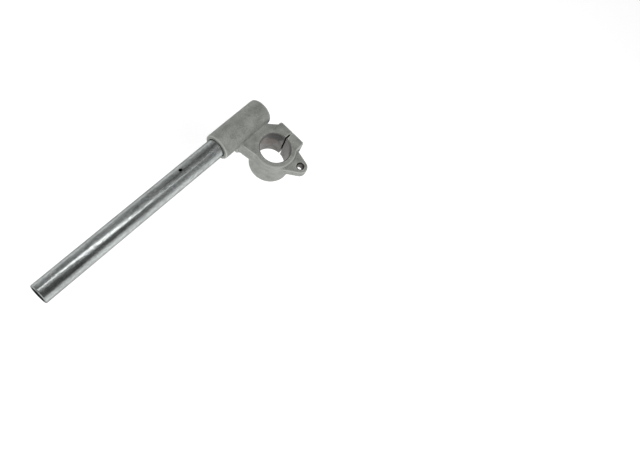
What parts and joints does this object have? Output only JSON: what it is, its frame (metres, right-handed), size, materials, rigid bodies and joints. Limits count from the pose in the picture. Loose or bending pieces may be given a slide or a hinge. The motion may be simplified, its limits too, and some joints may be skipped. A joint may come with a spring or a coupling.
{
  "type": "clip-on handlebar",
  "caption": "Clip-on motorcycle handlebar: a cast split clamp for the fork tube with a round steel bar fixed in its side socket.",
  "frame": {"origin": "middle of the fork bore, halfway up the clamp ring", "axes": "+Z along the fork bore towards the face that the socket stands on, -X towards the free end of the bar, +Y from the bore towards the socket"},
  "size_m": [0.3151, 0.1003, 0.066],
  "materials": {
    "cast_alloy": "matte as cast",
    "plated_tube": "dull plating with scratches along the bar",
    "screw_steel": "plain"
  },
  "bodies": {
    "root": {"clamp_casting": "cast_alloy", "bar_tube": "plated_tube", "upper_pinch_screw": "screw_steel", "lower_pinch_screw": "screw_steel"}
  },
  "joints": []
}
